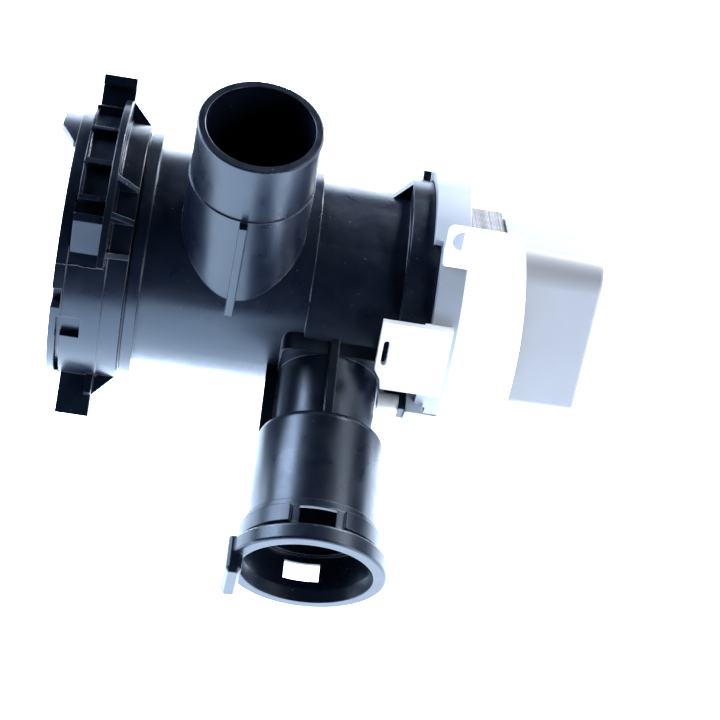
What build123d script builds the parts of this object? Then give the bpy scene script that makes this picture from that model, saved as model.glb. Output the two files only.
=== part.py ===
"""Drain pump of a washing machine, as an assembly of separate pieces.

Frame: the origin is the centre of the filter collar's front face. +X runs along
the pump's main axis from the filter to the motor, +Z along the inlet spout, and
the outlet leaves towards -Y. Angles about the main axis are measured from -Y
towards +Z, so 0 is the outlet side and 90 is the top.
"""
from build123d import *
from math import cos, radians, sin
import os

os.makedirs("parts", exist_ok=True)

# Main axis stations, from the front face of the filter collar
RIM_END = 3.6
COLLAR_END = 16.0
BODY_RING_END = 22.5
STEP_RING_START = 23.3
STEP_RING_END = 27.0
INLET_X = 56.7
INLET_Y = -10.5
CHAMBER_END = 81.0
OUTLET_X = 91.35
MOTOR_COLLAR_START = 110.3
MOTOR_COLLAR_END = 117.5
MOTOR_COLLAR_LOW_END = 120.0
LOW_SECTOR_START = -70.0
LOW_SECTOR_END = 74.0

# Radii of the black housing
RIM_R = 43.5
COLLAR_R = 43.0
BODY_RING_R = 42.3
STEP_RING_R = 40.5
CHAMBER_R = 35.9
PIPE_R = 33.1
VOLUTE_R = 33.8
MOTOR_COLLAR_R = 39.0
WALL = 3.0

# Inlet spout
SPOUT_R = 19.5
SPOUT_FOOT_R = 19.95
SPOUT_BORE_R = 16.9
HOSE_STOP = 56.2
SPOUT_TOP = 78.2
RIM_ROUND = 0.6
SPOUT_RIB_X = 56.0
SPOUT_RIB_WIDTH = 2.5
SPOUT_RIB_FOOT = 11.0
SPOUT_RIB_TOP = 55.6
SPOUT_RIB_PROUD = 3.0

# Outlet neck and hose socket, measured along the outlet axis
OUTLET_DROP_DEG = 7.75
BASE_END = 38.2
OUTLET_RIB_START = 26.0
NECK_R = 16.3
NECK_BORE_R = 13.3
SOCKET_START = 60.0
SOCKET_BORE_START = 62.5
SOCKET_R = 20.3
SOCKET_BORE_R = 18.0
SHOULDER_ROUND = 3.0
LIP_ROUND = 0.9
RIDGE_START = 92.6
MOUTH_BORE_START = 93.0
MOUTH_FLARE_START = 104.3
MOUTH_FLARE_DEG = 16
WINDOW_START = 95.3
WINDOW_LENGTH = 6.2
WINDOW_WIDTH = 11.5
RECESS_R = 21.3
RECESS_HALF_DEG = 23
BAND_START = 95.0
BAND_END = 100.7
BAND_R = 22.5
LIP_START = 102.7
OUTLET_END = 108.3
LIP_R = 25.0
MOUTH_BORE_R = 19.8

# Filter collar
CAP_BORE_R = 37.5
CAP_BORE_END = 20.0
FLANGE_START = 13.0
FLANGE_END = 15.3
FLANGE_R = 49.5
TAB_START = 4.4
TAB_R = 56.6
TAB_ANGLE = 141.0
TAB_WIDTH = 7.0
RACK_R = 46.3
RACK_START = 4.0
RACK_ANGLES = (125.0, 101.5, 83.0, 67.0)

# Motor
MOTOR_TILT = 25.0
MOTOR_FLANGE_R = 43.0
MOTOR_FLANGE_END = 128.7
SPIGOT_R = 35.7
ROTOR_CAN_R = 16.0
ROTOR_CAN_END = 151.0
SHAFT_R = 2.0
SCREW_ANGLE = -10.0
SCREW_AT = MOTOR_COLLAR_R + 3.2
SCREW_R = 2.0
FIT = 0.05


def polar(radius, angle):
    """Point (Y, Z) at an angle from -Y towards +Z."""
    return (-radius * cos(radians(angle)), radius * sin(radians(angle)))


def cross_plane(x):
    """Plane across the main axis, with local axes Y and Z."""
    return Plane.YZ.offset(x)


def radial_plane(angle, x=0.0):
    """Plane across the main axis, whose local X points outward at the angle."""
    y, z = polar(1, angle)
    return Plane(origin=(x, 0, 0), x_dir=(0, y, z), z_dir=(1, 0, 0))


def axial_plane(angle):
    """Plane through the main axis: local X is +X and local Y points outward."""
    y, z = polar(1, angle)
    return Plane(origin=(0, 0, 0), x_dir=(1, 0, 0), z_dir=(0, -z, y))


def tangent_plane(angle, radius):
    """Plane that touches a cylinder at the angle: local X is +X, local Y is towards larger angles."""
    y, z = polar(1, angle)
    return Plane(origin=(0, radius * y, radius * z), x_dir=(1, 0, 0), z_dir=(0, y, z))


def sector(r_in, r_out, low, high):
    """Face of part of a ring between two angles of its own plane."""
    with BuildSketch() as piece:
        with BuildLine():
            outer = CenterArc((0, 0), r_out, low, high - low)
            inner = CenterArc((0, 0), r_in, low, high - low)
            Line(outer @ 0, inner @ 0)
            Line(outer @ 1, inner @ 1)
        make_face()
    return piece.sketch


def ring_sector(r_in, r_out, low, high):
    """The same in a plane across the main axis, with its angles from -Y towards +Z."""
    return sector(r_in, r_out, 180 - high, 180 - low)


def disc(r_out, r_in=0.0, centre=(0, 0)):
    """Circle or ring, drawn in the sketch that is open."""
    with Locations(centre):
        Circle(r_out)
        if r_in > 0:
            Circle(r_in, mode=Mode.SUBTRACT)


def inlet_plane(z):
    """Plane across the inlet spout, centred on its axis."""
    return Plane(origin=(INLET_X, INLET_Y, z))


drop = radians(OUTLET_DROP_DEG)
OUTLET_DIR = (0, -cos(drop), -sin(drop))
OUTLET_UP = (0, -sin(drop), cos(drop))


def outlet_plane(t):
    """Plane across the outlet: local X is +X and local Y is up."""
    origin = (OUTLET_X, t * OUTLET_DIR[1], t * OUTLET_DIR[2])
    return Plane(origin=origin, x_dir=(1, 0, 0), z_dir=OUTLET_DIR)


tilt = radians(MOTOR_TILT)
MOTOR_FRONT = (0, -cos(tilt), sin(tilt))
MOTOR_UP = (0, sin(tilt), cos(tilt))


def motor_plane(x):
    """Plane across the main axis: local X is away from the label, local Y is up the label."""
    back = (0, -MOTOR_FRONT[1], -MOTOR_FRONT[2])
    return Plane(origin=(x, 0, 0), x_dir=back, z_dir=(1, 0, 0))


def motor_box(front, back, low, high, mode=Mode.ADD):
    """Rectangle in a motor plane, by its distances from the axis."""
    with Locations(((-front - back) / 2, (low + high) / 2)):
        Rectangle(front - back, high - low, mode=mode)


def round_edge(builder, plane, radius, size):
    """Round the circular edges of that radius that lie in a plane."""
    found = [
        edge
        for edge in builder.edges().filter_by(GeomType.CIRCLE)
        if abs(edge.radius - radius) < 0.01
        and abs((edge.arc_center - plane.origin).dot(plane.z_dir)) < 0.01
    ]
    fillet(found, size)


def finish(builder, name):
    """Label a finished piece and write it under its node's name."""
    builder.part.label = name
    export_step(builder.part, "parts/" + name + ".step")


# Pump housing
GUSSET_ANGLES = (TAB_ANGLE, 76.0, 61.0, 46.0)
GUSSET_THICKNESS = 1.8
RIB_THICKNESS = 1.6
POCKET_FLOOR_R = 44.2
LIP_TIP = -5.6
LIP_R_IN = 40.4
LIP_R_OUT = 42.9
LIP_SLANT_LOW = 97.0
LIP_SLANT_HIGH = 109.0
FLANGE_LOW = 41.0
FLANGE_HIGH = 152.0
NOTCH_END = 3.1
NOTCH_FLOOR_R = 38.5
WINDOW_END = 9.9
SLIT_END = 3.8
SLIT_FLOOR_R = 40.5
HOOK_THICKNESS = 5.0
HOOK_WIDTH = 19.0
HOOK_MIDDLE = -22.9
HOOK_ROUND = 1.6
HOOK_LENGTH = 10.3
HOOK_TIP = 1.5
HOOK_DRAFT = 35
LUG_START = 115.4
LUG_WIDTH = 6.4
VOLUTE_SHIFT = (-4.5, -2.0)
VOLUTE_BORE_R = 30.6
VOLUTE_START = 84.0
CHAMBER_BORE_R = CHAMBER_R - WALL

with BuildPart() as housing:
    stations = (
        (0.0, RIM_END, RIM_R),
        (RIM_END, COLLAR_END, COLLAR_R),
        (COLLAR_END, BODY_RING_END, BODY_RING_R),
        (BODY_RING_END, STEP_RING_START, STEP_RING_R - 1.2),
        (STEP_RING_START, STEP_RING_END, STEP_RING_R),
        (STEP_RING_END, CHAMBER_END, CHAMBER_R),
        (CHAMBER_END, MOTOR_COLLAR_START, PIPE_R),
        (MOTOR_COLLAR_START, MOTOR_COLLAR_END, MOTOR_COLLAR_R),
    )
    for start, end, radius in stations:
        with BuildSketch(cross_plane(start)):
            disc(radius)
        extrude(amount=end - start)
    with BuildSketch(cross_plane(CHAMBER_END)):
        disc(VOLUTE_R, centre=VOLUTE_SHIFT)
    extrude(amount=MOTOR_COLLAR_START - CHAMBER_END)
    with BuildSketch(cross_plane(MOTOR_COLLAR_END)):
        add(ring_sector(SPIGOT_R + 0.3, MOTOR_COLLAR_R, LOW_SECTOR_START, LOW_SECTOR_END))
    extrude(amount=MOTOR_COLLAR_LOW_END - MOTOR_COLLAR_END)
    # Inlet spout and its front rib
    for radius, top in ((SPOUT_R, SPOUT_TOP), (SPOUT_FOOT_R, HOSE_STOP)):
        with BuildSketch(inlet_plane(0)):
            Circle(radius)
        extrude(amount=top)
    round_edge(housing, inlet_plane(SPOUT_TOP), SPOUT_R, RIM_ROUND)
    with BuildSketch(inlet_plane(SPOUT_RIB_FOOT)):
        with Locations((SPOUT_RIB_X - INLET_X, -(SPOUT_R + SPOUT_RIB_PROUD) / 2)):
            Rectangle(SPOUT_RIB_WIDTH, SPOUT_R + SPOUT_RIB_PROUD)
    extrude(amount=SPOUT_RIB_TOP - SPOUT_RIB_FOOT)
    # Outlet: square base, neck, socket, band and lip
    with BuildSketch(outlet_plane(0)):
        RectangleRounded(2 * NECK_R + 0.8, 2 * NECK_R + 0.6, 3.0)
    extrude(amount=BASE_END)
    outlet_rings = (
        (0.0, SOCKET_START, NECK_R),
        (SOCKET_START, BAND_START, SOCKET_R),
        (RIDGE_START, BAND_START, SOCKET_R + 0.9),
        (BAND_START, BAND_END, BAND_R),
        (BAND_END, LIP_START, BAND_R - 1.0),
        (LIP_START, OUTLET_END, LIP_R),
    )
    for start, end, radius in outlet_rings:
        with BuildSketch(outlet_plane(start)):
            Circle(radius)
        extrude(amount=end - start)
    round_edge(housing, outlet_plane(SOCKET_START), SOCKET_R, SHOULDER_ROUND)
    round_edge(housing, outlet_plane(LIP_START), LIP_R, LIP_ROUND)
    round_edge(housing, outlet_plane(OUTLET_END), LIP_R, LIP_ROUND)
    with BuildSketch(outlet_plane(OUTLET_RIB_START)):
        with Locations((0, NECK_R / 2 + 0.6)):
            Rectangle(2.8, NECK_R + 1.2)
        with Locations((-SOCKET_R / 2, 0)):
            Rectangle(SOCKET_R - 0.2, 1.8)
    extrude(amount=SOCKET_START + 2.4 - OUTLET_RIB_START)
    # Hook beside the outlet lip
    for start, length, draft in ((LIP_START, HOOK_LENGTH, 0), (LIP_START + HOOK_LENGTH, HOOK_TIP, HOOK_DRAFT)):
        with BuildSketch(outlet_plane(start)):
            with Locations((HOOK_MIDDLE, -1.0)):
                RectangleRounded(HOOK_THICKNESS, HOOK_WIDTH, HOOK_ROUND)
        extrude(amount=length, taper=draft)
    # Mounting flange, locking racks and hook tabs: each is there twice, half a turn apart
    for turn in (0, 180):
        with BuildSketch(cross_plane(FLANGE_START)):
            add(ring_sector(COLLAR_R - 2, FLANGE_R, FLANGE_LOW + turn, FLANGE_HIGH + turn))
        extrude(amount=FLANGE_END - FLANGE_START)
        with BuildSketch(cross_plane(RACK_START)):
            add(ring_sector(COLLAR_R - 2, POCKET_FLOOR_R, RACK_ANGLES[-1] + turn, RACK_ANGLES[0] + turn))
        extrude(amount=FLANGE_START - RACK_START)
        with BuildSketch(cross_plane(RACK_START)):
            add(ring_sector(COLLAR_R - 2, RACK_R, RACK_ANGLES[-1] + turn, RACK_ANGLES[0] + turn))
        extrude(amount=1.0)
        for angle in RACK_ANGLES:
            with BuildSketch(radial_plane(angle + turn, RACK_START)):
                with Locations(((COLLAR_R + RACK_R) / 2, 0)):
                    Rectangle(RACK_R - COLLAR_R + 2, RIB_THICKNESS)
            extrude(amount=FLANGE_START - RACK_START)
        with BuildSketch(radial_plane(TAB_ANGLE + turn, TAB_START)):
            with Locations(((COLLAR_R + TAB_R) / 2 - 1, 0)):
                Rectangle(TAB_R - COLLAR_R + 2, TAB_WIDTH)
            with Locations((TAB_R - 1.6, TAB_WIDTH / 2 + 1.0)):
                Rectangle(3.2, 3.0)
        extrude(amount=FLANGE_END - TAB_START)
        with BuildSketch(cross_plane(TAB_START - 0.5)):
            with BuildLine():
                Polyline(
                    polar(COLLAR_R - 1, 61 + turn),
                    polar(FLANGE_R - 0.8, 60 + turn),
                    polar(FLANGE_R - 0.8, 57 + turn),
                    polar(COLLAR_R - 0.6, 43 + turn),
                    close=True,
                )
            make_face()
        extrude(amount=FLANGE_END + 0.5 - TAB_START)
        for angle in GUSSET_ANGLES:
            with BuildSketch(axial_plane(angle + turn)):
                with BuildLine():
                    Polyline(
                        (FLANGE_START, COLLAR_R - 3),
                        (FLANGE_START, FLANGE_R),
                        (FLANGE_END, FLANGE_R),
                        (BODY_RING_END - 0.3, BODY_RING_R),
                        (BODY_RING_END - 0.3, BODY_RING_R - 3),
                        close=True,
                    )
                make_face()
            extrude(amount=GUSSET_THICKNESS / 2, both=True)
    # Guide lip in front of the collar, over its upper back part, with one slanted end
    with BuildSketch(cross_plane(LIP_TIP)):
        add(ring_sector(LIP_R_IN, LIP_R_OUT, LIP_SLANT_LOW, 165))
    extrude(amount=0.4 - LIP_TIP)
    slant = LIP_R_OUT * radians(LIP_SLANT_HIGH - LIP_SLANT_LOW)
    with BuildSketch(tangent_plane(LIP_SLANT_LOW, CAP_BORE_R)):
        with BuildLine():
            Polyline((LIP_TIP - 1, -2), (-0.9, -2), (-0.9, 0), (LIP_TIP, slant), (LIP_TIP - 1, slant), close=True)
        make_face()
    extrude(amount=RIM_R - CAP_BORE_R, mode=Mode.SUBTRACT)
    # Gusset and nub of the motor collar
    with BuildSketch(axial_plane(122)):
        with BuildLine():
            Polyline((104.5, 31), (104.5, 33), (MOTOR_COLLAR_START, 38.6), (112, 38.6), (112, 31), close=True)
        make_face()
    extrude(amount=2.5, both=True)
    with BuildSketch(radial_plane(TAB_ANGLE, 114.6)):
        with Locations((MOTOR_COLLAR_R + 0.6, 0)):
            Rectangle(5.2, 4.0)
    extrude(amount=2.6)
    # Lug that takes the motor's locking screw
    with BuildSketch(radial_plane(SCREW_ANGLE, LUG_START)):
        with Locations((MOTOR_COLLAR_R + 2.2, 0)):
            Rectangle(8.4, LUG_WIDTH)
    extrude(amount=MOTOR_COLLAR_END - LUG_START)
    # Bores
    bores = (
        (-6.0, CAP_BORE_END, CAP_BORE_R),
        (CAP_BORE_END, VOLUTE_START, CHAMBER_BORE_R),
        (MOTOR_COLLAR_START + 0.5, MOTOR_COLLAR_LOW_END + 1, SPIGOT_R + 0.3),
    )
    for start, end, radius in bores:
        with BuildSketch(cross_plane(start)):
            disc(radius)
        extrude(amount=end - start, mode=Mode.SUBTRACT)
    with BuildSketch(cross_plane(VOLUTE_START)):
        disc(PIPE_R - WALL)
        disc(VOLUTE_BORE_R, centre=VOLUTE_SHIFT)
    extrude(amount=MOTOR_COLLAR_START + 1 - VOLUTE_START, mode=Mode.SUBTRACT)
    with BuildSketch(inlet_plane(0)):
        Circle(SPOUT_BORE_R)
    extrude(amount=SPOUT_TOP + 1, mode=Mode.SUBTRACT)
    outlet_bores = (
        (20.0, SOCKET_BORE_START, NECK_BORE_R),
        (SOCKET_BORE_START, MOUTH_BORE_START, SOCKET_BORE_R),
        (MOUTH_BORE_START, OUTLET_END + 1, MOUTH_BORE_R),
    )
    for start, end, radius in outlet_bores:
        with BuildSketch(outlet_plane(start)):
            Circle(radius)
        extrude(amount=end - start, mode=Mode.SUBTRACT)
    with BuildSketch(outlet_plane(MOUTH_FLARE_START)):
        Circle(MOUTH_BORE_R)
    extrude(amount=OUTLET_END - MOUTH_FLARE_START + 0.01, taper=-MOUTH_FLARE_DEG, mode=Mode.SUBTRACT)
    # Two snap windows through the band of the outlet, each in a shallow recess
    with BuildSketch(outlet_plane(WINDOW_START)):
        Rectangle(WINDOW_WIDTH, 2 * LIP_R + 10)
    extrude(amount=WINDOW_LENGTH, mode=Mode.SUBTRACT)
    for middle in (90, 270):
        with BuildSketch(outlet_plane(BAND_START)):
            add(sector(RECESS_R, LIP_R, middle - RECESS_HALF_DEG, middle + RECESS_HALF_DEG))
        extrude(amount=BAND_END - BAND_START, mode=Mode.SUBTRACT)
    # Notch, window and slit of the collar's front edge
    edge_cuts = (
        (-0.5, NOTCH_END, NOTCH_FLOOR_R, 20, 28.5),
        (2.2, WINDOW_END, SLIT_FLOOR_R, 5, 15.5),
        (2.4, SLIT_END, SLIT_FLOOR_R, -28, 6),
    )
    for start, end, floor, low, high in edge_cuts:
        with BuildSketch(cross_plane(start)):
            add(ring_sector(floor, RIM_R + 1, low, high))
        extrude(amount=end - start, mode=Mode.SUBTRACT)
    # Screw hole of the motor lug
    with BuildSketch(radial_plane(SCREW_ANGLE, LUG_START - 1)):
        with Locations((SCREW_AT, 0)):
            Circle(SCREW_R + 0.2)
    extrude(amount=MOTOR_COLLAR_END - LUG_START + 2, mode=Mode.SUBTRACT)
finish(housing, "pump_housing")


# Filter insert
CAP_FACE = 7.5
CAP_R = 37.1
CAP_FLOOR = 10.5
CAP_END = 19.5
SEAL_X = 15.35
SEAL_SECTION_R = 1.75
SEAL_GROOVE_R = 33.8
GRIP_LENGTH = 56.0
GRIP_WIDTH = 8.0
BASKET_R = 30.2
BASKET_WALL = 1.8
BASKET_END = 76.0
BASKET_SLOTS = 9

with BuildPart() as filter_cap:
    with BuildSketch(cross_plane(CAP_FACE)):
        disc(CAP_R)
    extrude(amount=CAP_END - CAP_FACE)
    with BuildSketch(cross_plane(CAP_FLOOR)):
        disc(BASKET_R + FIT)
    extrude(amount=CAP_END - CAP_FLOOR, mode=Mode.SUBTRACT)
    with BuildSketch(cross_plane(SEAL_X - SEAL_SECTION_R - 0.1)):
        disc(CAP_R + 1, SEAL_GROOVE_R)
    extrude(amount=2 * SEAL_SECTION_R + 0.2, mode=Mode.SUBTRACT)
    with BuildSketch(cross_plane(CAP_FACE)):
        disc(CAP_R, CAP_R - 2.2)
    extrude(amount=-3.0)
    with BuildSketch(cross_plane(CAP_FACE)):
        SlotOverall(GRIP_LENGTH, GRIP_WIDTH, rotation=90)
    extrude(amount=-CAP_FACE, taper=4)
finish(filter_cap, "filter_cap")

with BuildPart() as filter_seal:
    with BuildSketch(Plane.XZ):
        with Locations((SEAL_X, SEAL_GROOVE_R + 0.1 + SEAL_SECTION_R)):
            Circle(SEAL_SECTION_R)
    revolve(axis=Axis.X)
finish(filter_seal, "filter_seal")

with BuildPart() as filter_basket:
    with BuildSketch(cross_plane(CAP_FLOOR)):
        disc(BASKET_R, BASKET_R - BASKET_WALL)
    extrude(amount=BASKET_END - CAP_FLOOR)
    with BuildSketch(cross_plane(INLET_X - 20)):
        with Locations((0, BASKET_R)):
            Rectangle(2 * BASKET_R + 2, BASKET_R + 10)
    extrude(amount=BASKET_END - INLET_X + 16, mode=Mode.SUBTRACT)
    for index in range(BASKET_SLOTS):
        with BuildSketch(radial_plane(-170 + 20 * index, 25)):
            with Locations((BASKET_R, 0)):
                Rectangle(8, 5.0)
        extrude(amount=BASKET_END - 29, mode=Mode.SUBTRACT)
finish(filter_basket, "filter_basket")

# Non-return valve in the outlet
SEAT_END = 65.5
VALVE_PIN_UP = 13.6
VALVE_PIN_T = 67.9
VALVE_PIN_R = 1.0
VALVE_EAR_X = 6.0
FLAP_R = 14.9
FLAP_GAP = 0.2
FLAP_THICKNESS = 2.0


def valve_pin_plane(x):
    """Plane along the valve's pin: origin on the pin's axis."""
    along = VALVE_PIN_T
    y = along * OUTLET_DIR[1] + VALVE_PIN_UP * OUTLET_UP[1]
    z = along * OUTLET_DIR[2] + VALVE_PIN_UP * OUTLET_UP[2]
    return Plane(origin=(OUTLET_X + x, y, z), x_dir=OUTLET_DIR, z_dir=(1, 0, 0))


with BuildPart() as valve_seat:
    with BuildSketch(outlet_plane(SOCKET_BORE_START)):
        disc(SOCKET_BORE_R - FIT, NECK_BORE_R)
    extrude(amount=SEAT_END - SOCKET_BORE_START)
    with BuildSketch(outlet_plane(SEAT_END)):
        for side in (-1, 1):
            with Locations((side * (VALVE_EAR_X + 1.25), VALVE_PIN_UP)):
                Rectangle(2.5, 4.0)
    extrude(amount=VALVE_PIN_T + 1.9 - SEAT_END)
    with BuildSketch(valve_pin_plane(-9)):
        Circle(VALVE_PIN_R)
    extrude(amount=18, mode=Mode.SUBTRACT)
finish(valve_seat, "valve_seat")

with BuildPart() as valve_pin:
    with BuildSketch(valve_pin_plane(-VALVE_EAR_X - 2.5)):
        Circle(VALVE_PIN_R)
    extrude(amount=2 * VALVE_EAR_X + 5)
finish(valve_pin, "valve_pin")

with BuildPart() as valve_flap:
    with BuildSketch(outlet_plane(SEAT_END + FLAP_GAP)):
        Circle(FLAP_R)
        with Locations((0, VALVE_PIN_UP + 3)):
            Rectangle(2 * FLAP_R, 11.6, mode=Mode.SUBTRACT)
        with Locations((0, VALVE_PIN_UP / 2 + 3)):
            Rectangle(2 * VALVE_EAR_X - 0.6, VALVE_PIN_UP - 6)
    extrude(amount=FLAP_THICKNESS)
    with BuildSketch(outlet_plane(SEAT_END + FLAP_GAP + FLAP_THICKNESS)):
        Circle(FLAP_R - 5)
    extrude(amount=1.2, taper=30)
    with BuildSketch(valve_pin_plane(0)):
        Circle(1.85)
    extrude(amount=VALVE_EAR_X - 0.3, both=True)
    with BuildSketch(valve_pin_plane(0)):
        Circle(VALVE_PIN_R + FIT)
    extrude(amount=VALVE_EAR_X, both=True, mode=Mode.SUBTRACT)
finish(valve_flap, "valve_flap")

# Rotor and impeller
IMPELLER_R = 21.0
IMPELLER_HUB_R = 10.0
IMPELLER_FRONT = 94.5
IMPELLER_BACK = 107.8
CAVITY_R = 8.0
CAVITY_START = 97.0
CAVITY_END = 105.8
BLADES = 6
DOG_R = 7.7
DOG_LUG_ARC = 50
SHAFT_START = 93.0
SHAFT_END = 148.5
MAGNET_R = 14.0
MAGNET_START = 121.0
MAGNET_END = 142.0
CAN_BORE_R = 14.6

with BuildPart() as impeller:
    with BuildSketch(cross_plane(IMPELLER_FRONT)):
        disc(IMPELLER_HUB_R)
        for index in range(BLADES):
            with Locations(Location((0, 0, 0), (0, 0, index * 360 / BLADES))):
                with Locations(((IMPELLER_R + IMPELLER_HUB_R) / 2 - 0.5, 0)):
                    Rectangle(IMPELLER_R - IMPELLER_HUB_R + 1, 1.8)
    extrude(amount=IMPELLER_BACK - IMPELLER_FRONT)
    with BuildSketch(cross_plane(IMPELLER_BACK)):
        disc(IMPELLER_R, CAVITY_R)
    extrude(amount=1.4)
    with BuildSketch(cross_plane(CAVITY_START)):
        disc(CAVITY_R)
    extrude(amount=IMPELLER_BACK - CAVITY_START, mode=Mode.SUBTRACT)
    with BuildSketch(cross_plane(IMPELLER_FRONT - 1)):
        disc(SHAFT_R + FIT)
    extrude(amount=5, mode=Mode.SUBTRACT)
    with BuildSketch(cross_plane(CAVITY_START)):
        add(ring_sector(4.9, CAVITY_R + 0.5, 60, 60 + DOG_LUG_ARC))
    extrude(amount=CAVITY_END - CAVITY_START)
finish(impeller, "impeller")

with BuildPart() as impeller_cover:
    with BuildSketch(cross_plane(CAVITY_END)):
        disc(CAVITY_R, SHAFT_R + FIT)
    extrude(amount=IMPELLER_BACK - CAVITY_END)
finish(impeller_cover, "impeller_cover")

with BuildPart() as drive_dog:
    with BuildSketch(cross_plane(CAVITY_START + 0.3)):
        disc(4.6)
        add(ring_sector(4.0, DOG_R, 0, DOG_LUG_ARC))
        Circle(SHAFT_R, mode=Mode.SUBTRACT)
    extrude(amount=CAVITY_END - CAVITY_START - 0.6)
finish(drive_dog, "drive_dog")

with BuildPart() as rotor_shaft:
    with BuildSketch(cross_plane(SHAFT_START)):
        disc(SHAFT_R)
    extrude(amount=SHAFT_END - SHAFT_START)
    chamfer(rotor_shaft.edges().filter_by(GeomType.CIRCLE), 0.4)
finish(rotor_shaft, "rotor_shaft")

with BuildPart() as rotor_magnet:
    with BuildSketch(cross_plane(MAGNET_START)):
        disc(MAGNET_R, SHAFT_R)
    extrude(amount=MAGNET_END - MAGNET_START)
finish(rotor_magnet, "rotor_magnet")

# Motor front: flange, seals, bearings and rotor can
FRONT_WALL_START = 111.0
FRONT_WALL_END = 114.0
HOLDER_R = 9.0
BUSH_R = 5.0
SEAL_RING_X = 113.3
SEAL_RING_R = 1.3
SEAL_RING_FLOOR = 33.3
DISC_START = 120.3
DISC_END = 123.3
SKIRT_START = MOTOR_COLLAR_END + 0.1
FLANGE_LUG_WIDTH = 8.0

with BuildPart() as motor_flange:
    flange_rings = (
        (FRONT_WALL_START, FRONT_WALL_END, SPIGOT_R, HOLDER_R),
        (FRONT_WALL_END, DISC_START, SPIGOT_R, 30.0),
        (DISC_START, DISC_END, MOTOR_FLANGE_R, ROTOR_CAN_R + FIT),
        (DISC_END, MOTOR_FLANGE_END, MOTOR_FLANGE_R, MOTOR_FLANGE_R - WALL),
    )
    for start, end, outer, inner in flange_rings:
        with BuildSketch(cross_plane(start)):
            disc(outer, inner)
        extrude(amount=end - start)
    # Skirt over the motor collar, left out where the black collar reaches further
    with BuildSketch(cross_plane(SKIRT_START)):
        add(ring_sector(MOTOR_COLLAR_R + 0.3, MOTOR_FLANGE_R, LOW_SECTOR_END + 0.5, LOW_SECTOR_START + 359.5))
    extrude(amount=DISC_START - SKIRT_START)
    with BuildSketch(radial_plane(SCREW_ANGLE, SKIRT_START)):
        with Locations((SCREW_AT + 0.8, 0)):
            Rectangle(7.2, FLANGE_LUG_WIDTH)
    extrude(amount=DISC_END - SKIRT_START)
    with BuildSketch(radial_plane(SCREW_ANGLE, SKIRT_START - 1)):
        with Locations((SCREW_AT, 0)):
            Circle(SCREW_R + FIT)
    extrude(amount=DISC_END - SKIRT_START + 2, mode=Mode.SUBTRACT)
    with BuildSketch(cross_plane(SEAL_RING_X - SEAL_RING_R - 0.1)):
        disc(SPIGOT_R + 1, SEAL_RING_FLOOR)
    extrude(amount=2 * SEAL_RING_R + 0.2, mode=Mode.SUBTRACT)
finish(motor_flange, "motor_flange")

with BuildPart() as flange_seal:
    with BuildSketch(Plane.XZ):
        with Locations((SEAL_RING_X, SEAL_RING_FLOOR + SEAL_RING_R + 0.05)):
            Circle(SEAL_RING_R)
    revolve(axis=Axis.X)
finish(flange_seal, "flange_seal")

with BuildPart() as bearing_holder:
    with BuildSketch(cross_plane(FRONT_WALL_START + 2.0)):
        disc(HOLDER_R, BUSH_R)
    extrude(amount=6.0)
finish(bearing_holder, "bearing_holder")

with BuildPart() as shaft_seal:
    with BuildSketch(cross_plane(FRONT_WALL_START)):
        disc(HOLDER_R, SHAFT_R + FIT)
    extrude(amount=2.0)
    with BuildSketch(cross_plane(FRONT_WALL_START - 1.2)):
        disc(4.2, SHAFT_R + FIT)
    extrude(amount=1.2)
finish(shaft_seal, "shaft_seal")

with BuildPart() as front_bearing:
    with BuildSketch(cross_plane(FRONT_WALL_START + 2.0)):
        disc(BUSH_R, SHAFT_R + FIT)
    extrude(amount=6.0)
finish(front_bearing, "front_bearing")

with BuildPart() as rotor_can:
    with BuildSketch(cross_plane(FRONT_WALL_END)):
        disc(ROTOR_CAN_R, CAN_BORE_R)
    extrude(amount=ROTOR_CAN_END - FRONT_WALL_END)
    with BuildSketch(cross_plane(ROTOR_CAN_END - 1.5)):
        disc(ROTOR_CAN_R)
    extrude(amount=1.5)
    with BuildSketch(cross_plane(ROTOR_CAN_END - 7.0)):
        disc(7.0, BUSH_R)
    extrude(amount=5.5)
finish(rotor_can, "rotor_can")

with BuildPart() as rear_bearing:
    with BuildSketch(cross_plane(ROTOR_CAN_END - 7.0)):
        disc(BUSH_R, SHAFT_R + FIT)
    extrude(amount=5.0)
finish(rear_bearing, "rear_bearing")

# Stator: frame, core, rivets and coil
CORE_START = 131.0
CORE_END = 144.0
CORE_HALF_WIDTH = 27.0
CORE_FRONT = 27.0
CORE_BACK = -20.0
YOKE_BACK = 21.5
FRAME_START = 128.8
RIVET_PLACES = ((-14.5, 19.5), (-14.5, -19.5), (24.0, 22.0), (24.0, -22.0))
RIVET_R = 1.6
BOBBIN_HALF = 15.5
BOBBIN_WALL = 0.8
FLANGE_THICKNESS = 1.5
WINDING_BACK = 17.0
WINDING_FRONT = 31.5
WINDING_DEPTH = 3.6


def rivet_circles(radius, mode=Mode.ADD):
    """One circle at each rivet, in a motor plane."""
    for front, up in RIVET_PLACES:
        with Locations((-front, up)):
            Circle(radius, mode=mode)


with BuildPart() as stator_frame:
    with BuildSketch(motor_plane(FRAME_START)):
        motor_box(26.5, CORE_BACK, -CORE_HALF_WIDTH, CORE_HALF_WIDTH)
        Circle(ROTOR_CAN_R + 0.1, mode=Mode.SUBTRACT)
        motor_box(27.0, 10.0, -17.0, 17.0, Mode.SUBTRACT)
        rivet_circles(RIVET_R, Mode.SUBTRACT)
    extrude(amount=CORE_START - FRAME_START)
finish(stator_frame, "stator_frame")

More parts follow.
